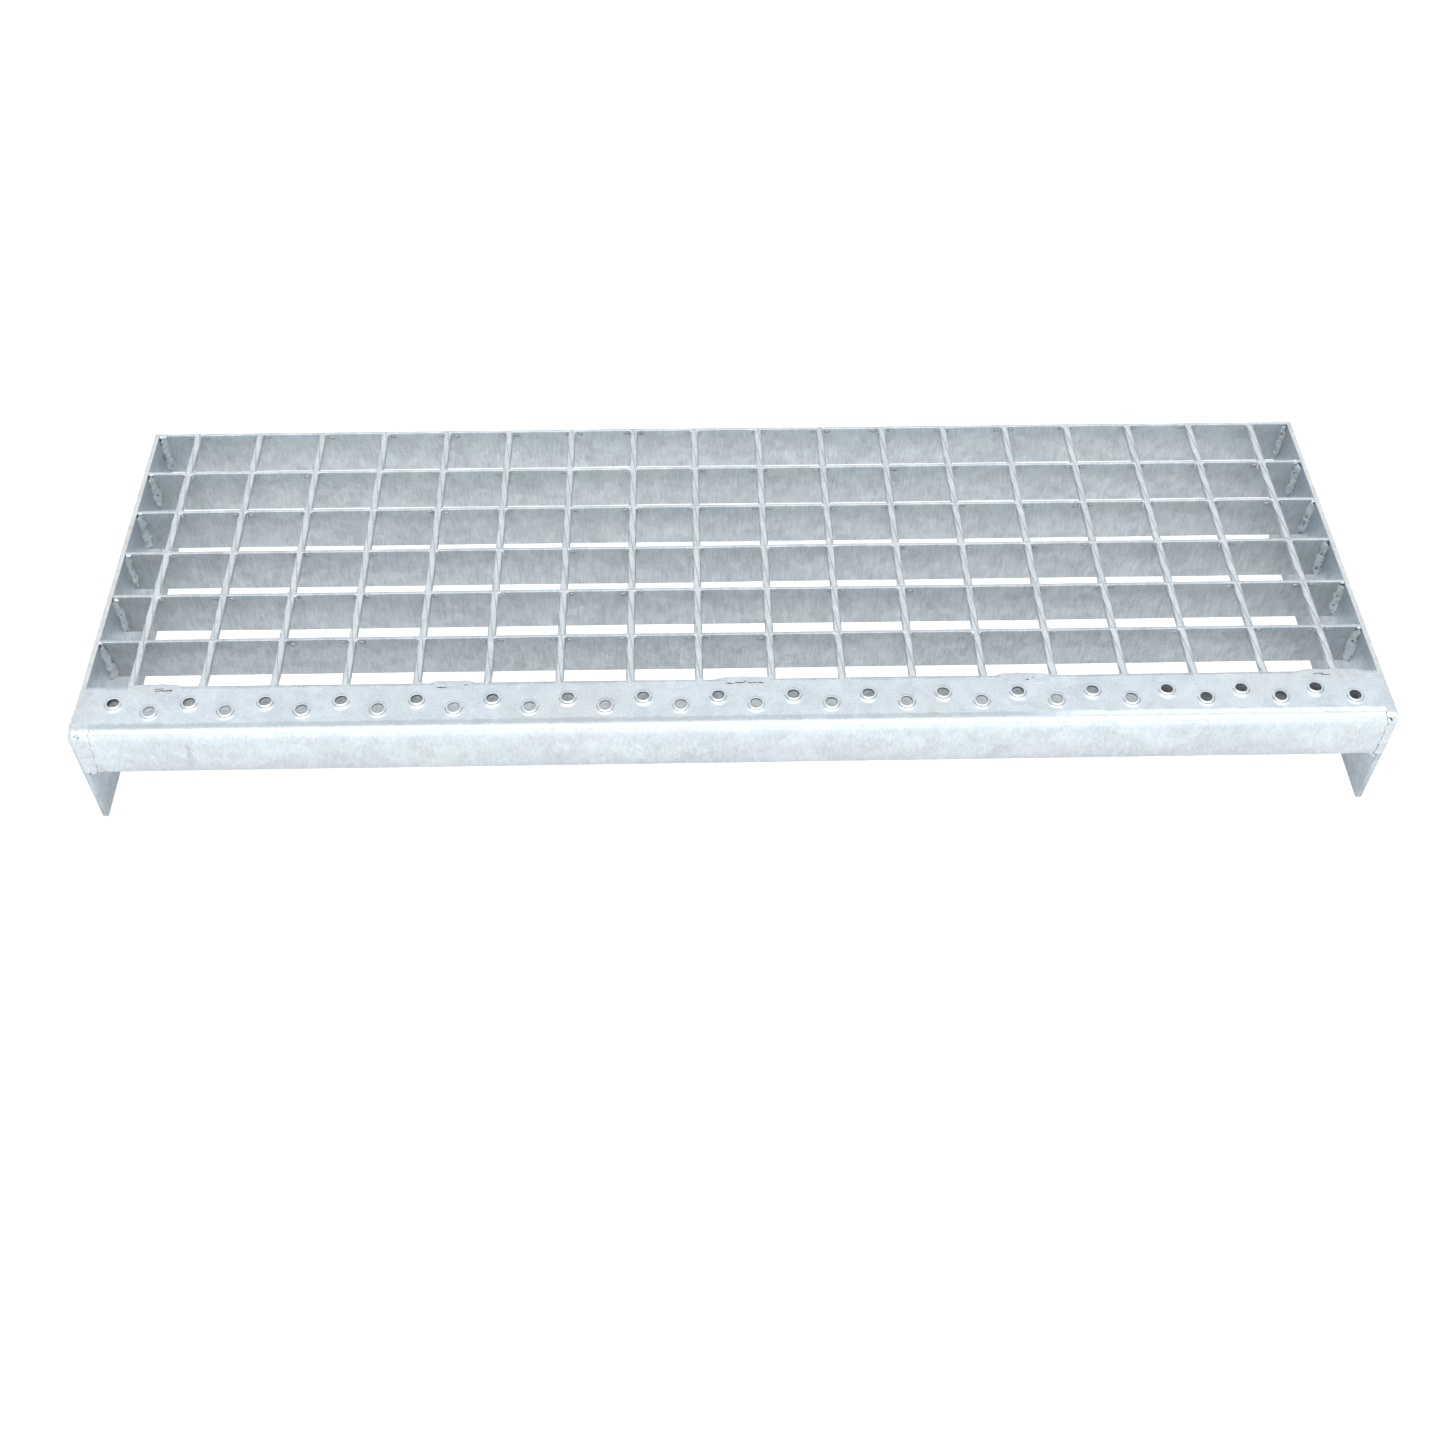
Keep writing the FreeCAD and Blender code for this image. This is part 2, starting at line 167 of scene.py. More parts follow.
# %% [markdown]
# ## The zinc finish
#
# Hot-dip galvanising leaves a crystalline coat: flat patches a few millimetres wide that each
# catch the light a little differently, cloudy mottling over them, fine streaks where the zinc ran
# off, and small grey specks. A scanned texture could be wrapped round each piece, but it would
# stretch and repeat. Layers of noise placed in real millimetres fit every piece at its true scale.

# %% Building blocks for a finish
def new_finish(name):
    """A material with its output, its shader and a place for its nodes."""
    material = bpy.data.materials.new(name)
    material.use_nodes = True
    shader = material.node_tree.nodes["Principled BSDF"]
    return material, material.node_tree, shader


def add_node(tree, kind, **sockets):
    """One node, with some of its sockets set; spaces in socket names are written as _."""
    node = tree.nodes.new(kind)
    for socket, value in sockets.items():
        node.inputs[socket.replace("_", " ")].default_value = value
    return node


def noise_layer(tree, place, size, detail=4.0, roughness=0.55, stretch=(1, 1, 1)):
    """Cloudy grey layer whose patches are about this size; stretch draws it out along an axis."""
    scale = add_node(tree, "ShaderNodeMapping", Scale=[1 / factor for factor in stretch])
    layer = add_node(tree, "ShaderNodeTexNoise", Scale=1 / size, Detail=detail, Roughness=roughness)
    tree.links.new(place, scale.inputs["Vector"])
    tree.links.new(scale.outputs["Vector"], layer.inputs["Vector"])
    return layer.outputs["Fac"]


def spangle_layer(tree, place, size):
    """Flat crystal patches of about this size, each with a grey of its own."""
    bend = add_node(tree, "ShaderNodeTexNoise", Scale=0.7 / size, Detail=2.0)
    shift = tree.nodes.new("ShaderNodeVectorMath")
    shift.operation = "MULTIPLY_ADD"
    shift.inputs[1].default_value = (size, size, size)
    cells = add_node(tree, "ShaderNodeTexVoronoi", Scale=1 / size)
    grey = tree.nodes.new("ShaderNodeSeparateColor")
    tree.links.new(place, bend.inputs["Vector"])
    tree.links.new(bend.outputs["Color"], shift.inputs[0])
    tree.links.new(place, shift.inputs[2])
    tree.links.new(shift.outputs["Vector"], cells.inputs["Vector"])
    tree.links.new(cells.outputs["Color"], grey.inputs["Color"])
    return grey.outputs["Red"]


def weigh(tree, layers):
    """Adds layers together, each with its own weight."""
    total = None
    for layer, weight in layers:
        share = tree.nodes.new("ShaderNodeMath")
        share.operation = "MULTIPLY" if total is None else "MULTIPLY_ADD"
        share.inputs[1].default_value = weight
        tree.links.new(layer, share.inputs[0])
        if total is not None:
            tree.links.new(total, share.inputs[2])
        total = share.outputs["Value"]
    return total


def spread(tree, layer, low, high, out_low, out_high):
    """Maps a layer's low and high values to new ones, and keeps the rest between them."""
    span = add_node(tree, "ShaderNodeMapRange")
    span.inputs["From Min"].default_value = low
    span.inputs["From Max"].default_value = high
    span.inputs["To Min"].default_value = out_low
    span.inputs["To Max"].default_value = out_high
    tree.links.new(layer, span.inputs["Value"])
    return span.outputs["Result"]


def blend_colours(tree, factor, low, high):
    """A colour between two colours or colour layers, chosen by a factor layer."""
    mix = tree.nodes.new("ShaderNodeMix")
    mix.data_type = "RGBA"
    tree.links.new(factor, mix.inputs["Factor"])
    for socket, colour in ((mix.inputs[6], low), (mix.inputs[7], high)):
        if isinstance(colour, tuple):
            socket.default_value = (*colour, 1.0)
        else:
            tree.links.new(colour, socket)
    return mix.outputs[2]


def profile_along(tree, distance, stops):
    """A grey between 0 and 1 that changes with a distance; stops pair millimetres with a grey."""
    low, high = stops[0][0], stops[-1][0]
    ramp = tree.nodes.new("ShaderNodeValToRGB")
    marks = ramp.color_ramp.elements
    marks[0].position, marks[1].position = 0, 1
    for millimetres, _ in stops[1:-1]:
        marks.new((millimetres - low) / (high - low))
    for mark, (_, grey) in zip(marks, stops):
        mark.color = (grey, grey, grey, 1)
    tree.links.new(spread(tree, distance, low * MM, high * MM, 0, 1), ramp.inputs["Fac"])
    return ramp.outputs["Color"]


def dim(tree, colour, grey):
    """A colour made darker or lighter by a grey layer."""
    product = tree.nodes.new("ShaderNodeVectorMath")
    product.operation = "MULTIPLY"
    tree.links.new(colour, product.inputs[0])
    tree.links.new(grey, product.inputs[1])
    return product.outputs["Vector"]


def paint_bend_shade_and_highlight(tree, place, colour, band, change_at):
    """A painted strip along the tread, a few millimetres wide: painted shade on the left part, painted
    highlight on the right.
    """
    split = tree.nodes.new("ShaderNodeSeparateXYZ")
    tree.links.new(place, split.inputs["Vector"])
    ragged = noise_layer(tree, place, 5 * MM)
    across = weigh(tree, [(split.outputs["Y"], 1.0), (ragged, 2.4 * MM)])
    strip = profile_along(tree, across, band)
    strength = spread(tree, split.outputs["X"], change_at, change_at + 40 * MM, -0.18, 0.4)
    change = tree.nodes.new("ShaderNodeMath")
    change.operation = "MULTIPLY_ADD"
    change.inputs[2].default_value = 1.0
    tree.links.new(strip, change.inputs[0])
    tree.links.new(strength, change.inputs[1])
    return dim(tree, colour, change.outputs["Value"])


# %% The zinc itself
STAIN = (0.52, 0.45, 0.36)
TONE_LOW, TONE_HIGH = 0.36, 0.64


def zinc(name, dull, bright, gloss, spangle, streaks=(1, 1, 1), stain=0.0, bumps=0.25, metal=0.85,
         shade_by_height=None, bend_band_paint=None):
    """Hot-dip zinc between two greys; gloss is the roughness of its bright and dull patches."""
    material, tree, shader = new_finish(name)
    place = tree.nodes.new("ShaderNodeTexCoord").outputs["Object"]
    clouds = noise_layer(tree, place, 22 * MM, detail=5.0)
    blotches = noise_layer(tree, place, 6 * MM, detail=3.0)
    patches = spangle_layer(tree, place, spangle)
    runs = noise_layer(tree, place, 1.3 * MM, detail=3.0, stretch=streaks)
    specks = noise_layer(tree, place, 0.9 * MM, detail=2.0)
    layers = [(clouds, 0.2), (blotches, 0.18), (patches, 0.08), (runs, 0.32), (specks, 0.22)]
    tone = weigh(tree, layers)
    shade = spread(tree, tone, TONE_LOW, TONE_HIGH, 0.0, 1.0)
    colour = blend_colours(tree, shade, dull, bright)
    if stain:
        damp = noise_layer(tree, place, 60 * MM, detail=3.0)
        colour = blend_colours(tree, spread(tree, damp, 0.56, 0.75, 0.0, stain), colour, STAIN)
    # Painted shade: the colour is darkened towards the bottom, by height.
    if shade_by_height:
        split = tree.nodes.new("ShaderNodeSeparateXYZ")
        tree.links.new(place, split.inputs["Vector"])
        colour = dim(tree, colour, profile_along(tree, split.outputs["Z"], shade_by_height))
    # Painted shade and painted highlight in a band just behind the nosing's bend.
    if bend_band_paint:
        colour = paint_bend_shade_and_highlight(tree, place, colour, *bend_band_paint)
    tree.links.new(colour, shader.inputs["Base Color"])
    blur = spread(tree, tone, TONE_LOW, TONE_HIGH, gloss[1], gloss[0])
    tree.links.new(blur, shader.inputs["Roughness"])
    relief = weigh(tree, [(clouds, 0.5), (runs, 0.35), (specks, 0.15)])
    bump = add_node(tree, "ShaderNodeBump", Strength=bumps, Distance=0.6 * MM)
    tree.links.new(relief, bump.inputs["Height"])
    tree.links.new(bump.outputs["Normal"], shader.inputs["Normal"])
    shader.inputs["Metallic"].default_value = metal
    return material


# %% [markdown]
# One bath gives many greys. The bars are dull and finely streaked, the nosing is the smoothest
# sheet and the brightest, welds are rough, and the film in a hole is dark. Each surface therefore
# gets its own pair of greys, gloss and grain, all from the one recipe.

# %% The finishes of this tread
# Some finishes paint light and shade: the dark ones under the nosing, beside the twist ridges, on the
# forge lumps and in the rear holes, the light one on the plates' tops, the height ramps, the band at the
# bend, and the lighter rear bars.
# Heights in millimetres and brightness of a painted shade that darkens the lower parts of the nosing and
# of the end plates.
NOSING_PAINTED_SHADE = [(40, 0.82), (46, 0.91), (56, 0.98), (66, 1.0), (72, 1.0)]
PLATE_PAINTED_SHADE = [(0, 0.72), (12, 0.82), (36, 1.0), (70, 1.0)]
# A painted band just behind the bend, in millimetres along the tread's depth: painted shade on the left
# part of the nosing and a painted highlight on the right part.
PAINTED_BEND_BAND = [(-120, 0), (-113.8, 0), (-113.2, 1), (-110.8, 1), (-110.3, 0), (-85, 0)]
# Where the painted band turns from shade to highlight, along the tread.
PAINTED_BEND_CHANGE = 150 * MM

rod_zinc = zinc("zinc_on_cross_bars", (0.41, 0.435, 0.45), (0.57, 0.60, 0.62), (0.38, 0.55),
                5 * MM, (1, 7, 1))
plate_zinc = zinc("zinc_on_plates", (0.31, 0.35, 0.385), (0.46, 0.52, 0.57), (0.42, 0.6),
                  8 * MM, (1, 1, 5), shade_by_height=PLATE_PAINTED_SHADE)
plate_top_painted_highlight = zinc("painted_highlight_on_plate_tops", (0.42, 0.43, 0.43), (0.60, 0.61, 0.61), (0.35, 0.5),
                 4 * MM, (1, 4, 1))
sheet_zinc = zinc("zinc_on_nosing", (0.405, 0.44, 0.47), (0.57, 0.62, 0.66), (0.27, 0.4),
                  8 * MM, (1, 1, 3), 0.2, shade_by_height=NOSING_PAINTED_SHADE, bend_band_paint=(PAINTED_BEND_BAND, PAINTED_BEND_CHANGE))
run_zinc = zinc("zinc_run_on_front", (0.33, 0.36, 0.37), (0.48, 0.515, 0.53), (0.3, 0.45), 4 * MM)
weld_zinc = zinc("zinc_on_welds", (0.29, 0.325, 0.35), (0.44, 0.485, 0.515), (0.4, 0.6),
                 3 * MM, bumps=0.7)
painted_shade_zinc = zinc("zinc_with_dark_painted_shade", (0.18, 0.195, 0.20), (0.40, 0.43, 0.44), (0.45, 0.65),
                 2 * MM, bumps=0.7)
twist_line_painted_shade = zinc("painted_shade_in_twist_lines", (0.22, 0.24, 0.25), (0.40, 0.43, 0.45), (0.45, 0.65), 2 * MM)
seam_zinc = zinc("zinc_on_nosing_welds", (0.39, 0.42, 0.44), (0.55, 0.585, 0.61), (0.28, 0.45),
                 3 * MM, stain=0.1, bumps=0.45)
skin_zinc = zinc("zinc_skin_in_holes", (0.17, 0.185, 0.19), (0.36, 0.375, 0.38), (0.4, 0.6),
                 2 * MM, bumps=0.8)
pale_skin_zinc = zinc("pale_zinc_skin_in_holes", (0.27, 0.29, 0.30), (0.44, 0.46, 0.47), (0.4, 0.6),
                      2 * MM, bumps=0.8)
painted_shadow_zinc = zinc("painted_shadow_under_nosing", (0.13, 0.14, 0.147), (0.20, 0.215, 0.23), (0.6, 0.8),
                   6 * MM)
pit_oxide = zinc("dark_oxide_in_pits", (0.05, 0.055, 0.06), (0.12, 0.125, 0.13), (0.7, 0.9),
                 1 * MM, metal=0.2)
print("finishes:", [material.name for material in bpy.data.materials])

# %% [markdown]
# ## Bearing bars
#
# A bearing bar is flat steel from the rolling mill, two millimetres thick, standing on edge. A plain box
# would do from far away, but the top edges are what the light draws as thin bright lines, so the section
# has rounded corners and is carried along the tread in short steps that waver a little. The front
# of the first bar stands in the dark behind the nosing, and there its zinc is painted dark as painted
# shade.

# %% Make the bearing bars
# Each bar hangs this much lower than the one before it, towards the rear.
EXTRA_DEPTH = 0.24 * MM


def bar_finish_with_painted_light(number):
    """The zinc of one bar, painted a little lighter towards the rear of the tread as painted light."""
    # Painted light: each bar further back gets slightly raised greys.
    tone = 1 + 0.035 * (number - 2)
    dull = tuple(tone * part for part in (0.31, 0.34, 0.36))
    bright = tuple(tone * part for part in (0.47, 0.51, 0.54))
    return zinc(f"zinc_on_bar_{number}", dull, bright, (0.45, 0.6), 6 * MM, (1, 1, 7), 0.12)


def make_bearing_bar(number, node, low, high):
    """A flat bar on edge that wavers by a fraction of a millimetre."""
    foot_z = low.z - EXTRA_DEPTH * (number - 1)
    section = rounded_rectangle(high.y - low.y, high.z - foot_z, 0.5 * MM)
    mid_y, mid_z = bar_lines[number - 1], (foot_z + high.z) / 2
    step_length = 4 * MM
    steps = round((high.x - low.x) / step_length)
    rings = []
    for step in range(steps + 1):
        x = low.x + (high.x - low.x) * step / steps
        sway = 0.35 * MM * drift(x, 110 * MM, number)
        lift = 0.18 * MM * drift(x, 30 * MM, number + 20)
        swell = 1 + 0.08 * drift(x, 18 * MM, number + 40)
        rings.append([(x, mid_y + sway + across * swell, mid_z + lift + up) for across, up in section])
    points, faces = join_rings(rings)
    return add_piece(f"bar_{number}", points, faces, bar_finish_with_painted_light(number), [node])


bars = []
for number, (node, (low, high)) in enumerate(zip(BAR_NODES, bar_boxes), start=1):
    bars.append(make_bearing_bar(number, node, low, high))
# Painted shade: the first bar's front face, hidden behind the nosing, gets a dark finish.
refinish(bars[0], painted_shadow_zinc, lambda middle, direction: direction.y < -0.9)
print("bearing bars:", len(BAR_NODES))

# %% [markdown]
# ## Twisted cross bars
#
# Each cross bar is a square rod that was twisted cold before it was forged in. Twisting and zinc
# round it until only its four corners are left, as fine ridges that run slantwise from one bearing
# bar to the next. Twisting a long box with a modifier would work too; turning the rings one by one
# also lets every rod have its own small phase and lean.

# %% Make the cross bars
ROD_WIDTH = 4.3 * MM
ROD_HEIGHT = 4.2 * MM
ROD_SQUARENESS = 2.7
RIDGE = 0.2 * MM
ROD_LIFT = 0.3 * MM
TURN_PER_BAY = math.radians(125)
RING_POINTS = 60


def rod_ring(x, y, z, turn):
    """A softly squared section whose four fine ridges have turned by some angle."""
    ring = []
    for place in range(RING_POINTS):
        degrees = 360 * place / RING_POINTS
        ridge = RIDGE * math.exp(-(((degrees % 90 - 45) / 7) ** 2))
        cosine, sine = math.cos(math.radians(degrees) + turn), math.sin(math.radians(degrees) + turn)
        across = (2 * abs(cosine) / ROD_WIDTH) ** ROD_SQUARENESS
        up = (2 * abs(sine) / ROD_HEIGHT) ** ROD_SQUARENESS
        radius = (across + up) ** (-1 / ROD_SQUARENESS) + ridge
        ring.append((x + radius * cosine, y, z + radius * sine))
    return ring


def make_cross_bar(number, node, low, high):
    """A twisted square rod that runs over all the bearing bars."""
    phase = math.radians(50) * drift(number, 1.7, 3)
    step_length = 1.6 * MM
    steps = round((high.y - low.y) / step_length)
    rings = []
    for step in range(steps + 1):
        y = low.y + (high.y - low.y) * step / steps
        turn = phase + TURN_PER_BAY * (y - bar_mids[0]) / bar_pitch
        lean = 0.15 * MM * drift(y, 90 * MM, number + 60)
        rings.append(rod_ring(rod_lines[number - 1] + lean, y, cross_axis_z + ROD_LIFT, turn))
    points, faces = join_rings(rings)
    rod = add_piece(f"rod_{number:02d}", points, faces, rod_zinc, [node])
    # Painted shade: the faces just beside each fine ridge get a darker finish that draws the twist lines.
    rod.data.materials.append(twist_line_painted_shade)
    for face in rod.data.polygons:
        beyond_ridge = (face.index % RING_POINTS) % (RING_POINTS // 4) - RING_POINTS // 8
        if beyond_ridge in (1, 2):
            face.material_index = 1
    return rod


for number, (node, (low, high)) in enumerate(zip(CROSS_NODES, cross_boxes), start=1):
    make_cross_bar(number, node, low, high)
print("cross bars:", len(CROSS_NODES))

# %% [markdown]
# ## Forge flash at the crossings
#
# Where a rod is pressed into a hot bearing bar, a little metal is squeezed out and the zinc later
# rounds it off. Seen from above, the corners of each mesh are slightly filled. A collar whose
# outline is a star with four hollow sides makes exactly those fillets; it shrinks downwards, and
# each point of the star has its own length, so no two crossings look alike.

# %% The collar at one crossing
FLASH_REACH_ALONG = 4.6 * MM
FLASH_REACH_ACROSS = 4.0 * MM
FLASH_DEPTH = 5.6 * MM
FLASH_HOLLOWNESS = 0.72


def star_outline(reaches, count=24):
    """A star with four rounded points on the axes and hollow sides between them."""
    outline = []
    for place in range(count):
        angle = 2 * math.pi * place / count
        cosine, sine = math.cos(angle), math.sin(angle)
        reach_x = reaches[0] if cosine > 0 else reaches[1]
        reach_y = reaches[2] if sine > 0 else reaches[3]
        along = (abs(cosine) / reach_x) ** FLASH_HOLLOWNESS
        across = (abs(sine) / reach_y) ** FLASH_HOLLOWNESS
        radius = (along + across) ** (-1 / FLASH_HOLLOWNESS)
        outline.append((radius * cosine, radius * sine))
    return outline


def flash_rings(x, y, dice, reach_back, reach_front):
    """Rings of one collar, from its flat top down to its ragged foot."""
    along = [FLASH_REACH_ALONG * dice.uniform(0.75, 1.3) for _ in range(2)]
    across = [reach_back * dice.uniform(0.8, 1.2), reach_front * dice.uniform(0.8, 1.2)]
    outline = star_outline(along + across)
    depth = FLASH_DEPTH * dice.uniform(0.8, 1.2)
    levels = [(0.0, 0.5), (0.01, 0.85), (0.06, 1.0), (0.3, 1.0), (0.6, 0.86), (0.85, 0.6), (1.0, 0.3)]
    lean_x, lean_y = dice.uniform(-0.5, 0.5) * MM, dice.uniform(-0.3, 0.3) * MM
    rings = []
    for share, size in levels:
        z = top_z - 0.04 * MM - share * depth
        ring = []
        for across_x, across_y in outline:
            ring.append((x + lean_x * share + across_x * size, y + lean_y * share + across_y * size, z))
        rings.append(ring)
    return rings


print("points round a collar:", len(star_outline([FLASH_REACH_ALONG] * 4)))

# %% [markdown]
# The same squeeze leaves small lumps on the face of the bar just beside the rod, a little below
# the top; their dark finish is painted shade. They are short ridges, so the tool for weld beads is
# defined here and used again later: it carries a half-sunk oval along a line and lets its width and
# height breathe.

# %% The bead tool
BEAD_STEP = 0.7 * MM
BEAD_POINTS = 14


def bead_rings(start, end, up, width, height, seed, pulse=0.1, sink=0.6, wander=0.25, breathing=0.3):
    """Rings of a ridge from start to end; up is the direction in which it stands out."""
    start, end, up = Vector(start), Vector(end), Vector(up).normalized()
    run = end - start
    side = run.normalized().cross(up).normalized()
    steps = max(8, round(run.length / BEAD_STEP))
    rings = []
    for step in range(steps + 1):
        share = step / steps
        distance = share * run.length
        taper = max(0.1, 1 - abs(2 * share - 1) ** 5)
        ripple = pulse * math.sin(2 * math.pi * distance / (2.6 * MM) + seed)
        breath = 1 + ripple + breathing * drift(distance, 4 * MM, seed)
        shift = side * width * wander * drift(distance, 7 * MM, seed + 1)
        middle = start + run * share + shift
        ring = []
        for place in range(BEAD_POINTS):
            angle = 2 * math.pi * place / BEAD_POINTS
            rise = math.sin(angle) * height * (1 if math.sin(angle) > 0 else sink)
            reach = math.cos(angle) * width / 2
            lump = 1 + 0.25 * noise.noise((middle + side * reach) / (1.5 * MM))
            ring.append(middle + (side * reach * breath + up * rise * breath * lump) * taper)
        rings.append(ring)
    return rings


def gather(parts):
    """Joins several lists of rings into one set of points and faces."""
    points, faces = [], []
    for rings in parts:
        more_points, more_faces = join_rings(rings)
        start = len(points)
        points += more_points
        faces += [tuple(start + corner for corner in face) for face in more_faces]
    return points, faces


bead_end = (10 * MM, 0, 0)
print("rings in a 10 mm bead:", len(bead_rings((0, 0, 0), bead_end, (0, 0, 1), 4 * MM, 1 * MM, 0)))

# %% Make the collars and the lumps beside them
def lump_rings(x, y, side, dice):
    """One squeezed lump on the front face of a bar, beside a rod."""
    near = x + side * dice.uniform(2.4, 3.2) * MM
    far = near + side * dice.uniform(1.5, 4.5) * MM
    z = top_z - dice.uniform(1.4, 2.6) * MM
    face_y = y - bar_thickness / 2
    end_z = z - dice.uniform(-0.6, 1.2) * MM
    width, height = dice.uniform(1.2, 2.4) * MM, dice.uniform(0.4, 1.0) * MM
    start, end = (near, face_y, z), (far, face_y, end_z)
    return bead_rings(start, end, (0, -1, 0), width, height, dice.random() * 50)


def make_flash(number, y):
    """All the collars along one bearing bar, and the lumps on its front face."""
    dice = random.Random(100 + number)
    collars, lumps = [], []
    back = 1.3 * MM if number == len(bar_mids) else FLASH_REACH_ACROSS
    front = 1.3 * MM if number == 1 else FLASH_REACH_ACROSS
    for x in rod_lines:
        collars.append(flash_rings(x, y, dice, back, front))
        if number > 1:
            lumps.append(lump_rings(x, y, 1, dice))
        if number > 1 and dice.random() < 0.6:
            lumps.append(lump_rings(x, y, -1, dice))
    points, faces = gather(collars)
    name = f"forge_flash_{number}"
    add_piece(name, points, faces, rod_zinc, swell=0.2 * MM, grain=2.5 * MM)
    if lumps:
        points, faces = gather(lumps)
        name = f"forge_lumps_{number}"
        # The lumps' dark finish is painted shade.
        add_piece(name, points, faces, painted_shade_zinc, swell=0.25 * MM, grain=1.2 * MM)
    return len(lumps)


lump_count = sum(make_flash(number, y) for number, y in enumerate(bar_lines, start=1))
print("crossings:", len(bar_mids) * len(cross_mids), " lumps beside them:", lump_count)

# %% [markdown]
# ## End plates
#
# The end plates are sheared from three millimetre plate: rounded at the front to follow the
# nosing, cut off at the rear lower corner, with a round hole and a slot for the fixing bolts. A
# flat curve with inner loops fills itself around the holes, and its bevel softens every edge at
# once, which is quicker and cleaner than cutting holes in a mesh.

# %% Make the end plates
PLATE_EDGE = 0.45 * MM
ARC_STEPS = 16


def arc(middle, radius, start, end, steps=ARC_STEPS):
    """Points along an arc, with its angles in degrees."""
    angles = [math.radians(start + (end - start) * step / steps) for step in range(steps + 1)]
    return [(middle[0] + radius * math.cos(a), middle[1] + radius * math.sin(a)) for a in angles]


def plate_loops(depth, height):
    """Outline, fixing hole and slot, measured from the plate's front lower corner."""
    nose, tip = 6.5 * MM, 2.0 * MM
    cut_back, cut_up = 30 * MM, 35 * MM
    outline = arc((tip, tip), tip, 180, 270)
    outline += [(depth - cut_back, 0), (depth, cut_up), (depth, height)]
    outline += arc((nose, height - nose), nose, 90, 180)
    hole_y, slot_y, level, radius = 60 * MM, 180 * MM, 15 * MM, 7 * MM
    reach = 8 * MM
    hole = arc((hole_y, level), radius, 0, 360, 40)[:-1]
    slot = arc((slot_y + reach, level), radius, -90, 90) + arc((slot_y - reach, level), radius, 90, 270)
    return [outline, hole, slot]


def add_curve_loops(name, loops, thickness, edge):
    """A flat curve made of closed loops; the inner ones become holes."""
    curve = bpy.data.curves.new(name, "CURVE")
    curve.dimensions = "2D"
    curve.fill_mode = "BOTH"
    curve.extrude = thickness / 2 - edge
    curve.bevel_depth = edge
    curve.bevel_resolution = 3
    curve.offset = -edge
    for loop in loops:
        spline = curve.splines.new("POLY")
        spline.points.add(len(loop) - 1)
        spline.use_cyclic_u = True
        for point, (across, up) in zip(spline.points, loop):
            point.co = (across, up, 0, 1)
    return bpy.data.objects.new(name, curve)


def make_end_plate(side):
    """One end plate, turned upright from its flat curve."""
    low, high = plate_boxes[side]
    loops = plate_loops(high.y - low.y, high.z - low.z)
    drawing = add_curve_loops(f"plate_drawing_{side}", loops, high.x - low.x, PLATE_EDGE)
    flat = bpy.data.meshes.new_from_object(drawing)
    bpy.data.objects.remove(drawing)
    upright = Matrix(((0, 0, 1, (low.x + high.x) / 2), (1, 0, 0, low.y), (0, 1, 0, low.z), (0, 0, 0, 1)))
    flat.transform(upright)
    points = [vertex.co.copy() for vertex in flat.vertices]
    faces = [tuple(polygon.vertices) for polygon in flat.polygons]
    node = f"end_plate_{side}"
    plate = add_piece(f"side_plate_{side}", points, faces, plate_zinc, [node])
    # Painted highlight: faces that look upwards get a lighter, more neutral finish.
    refinish(plate, plate_top_painted_highlight, lambda middle, direction: direction.z > 0.3)
    return plate


for side in ("left", "right"):
    plate = make_end_plate(side)
    print(plate.name, "corners:", len(plate.data.vertices))

# %% [markdown]
# ## The nosing
#
# The front edge is one sheet, folded down at the front, with two staggered rows of holes punched
# upwards so that each stands in a small crater that grips a boot. Bump in a material would lie
# flat at the rim, so the craters are real shape: the flange is a row of equal cells, each with one
# hole, and the mesh in a cell runs out in rings from the hole to the cell's straight edges.

# %% Sizes of the nosing
SHEET = 3.0 * MM
FOLD = 6.5 * MM
CELL = 20 * MM
CELL_STEPS_ALONG, CELL_STEPS_ACROSS = 8, 10
nosing_low, nosing_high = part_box("nosing")
nosing_depth = nosing_high.y - nosing_low.y
nosing_drop = top_z - nosing_low.z
nosing_half = nosing_high.x
cell_count = int(2 * nosing_half // CELL)
cell_mids = [(place - (cell_count - 1) / 2) * CELL for place in range(cell_count)]
ROW_SETBACKS = (21.7 * MM, 15.7 * MM)
# Radius and height of the crater's upper side, then of the dent below it, in millimetres.
CRATER = [
    (3.1, -0.7), (3.1, 1.0), (3.15, 1.45), (3.4, 1.62), (3.75, 1.5), (4.2, 1.1),
    (4.5, 0.92), (4.8, 0.86), (5.3, 0.52), (5.9, 0.18), (6.6, 0.03), (7.2, 0.0),
]
DENT = [(3.15, -1.1), (3.5, -1.7), (4.2, -2.4), (5.2, -2.9), (6.5, -3.0)]
print("cells with a crater:", cell_count, " nosing depth in mm:", round(nosing_depth / MM, 1))


# %% One cell of the flange, with its crater
def cell_edge(x_mid, y_low, y_high):
    """Points round a cell's edge, anticlockwise from its front left corner."""
    xs = np.linspace(x_mid - CELL / 2, x_mid + CELL / 2, CELL_STEPS_ALONG + 1)
    ys = np.linspace(y_low, y_high, CELL_STEPS_ACROSS + 1)
    front = [(x, ys[0]) for x in xs[:-1]]
    right = [(xs[-1], y) for y in ys[:-1]]
    rear = [(x, ys[-1]) for x in xs[:0:-1]]
    left = [(xs[0], y) for y in ys[:0:-1]]
    return front + right + rear + left


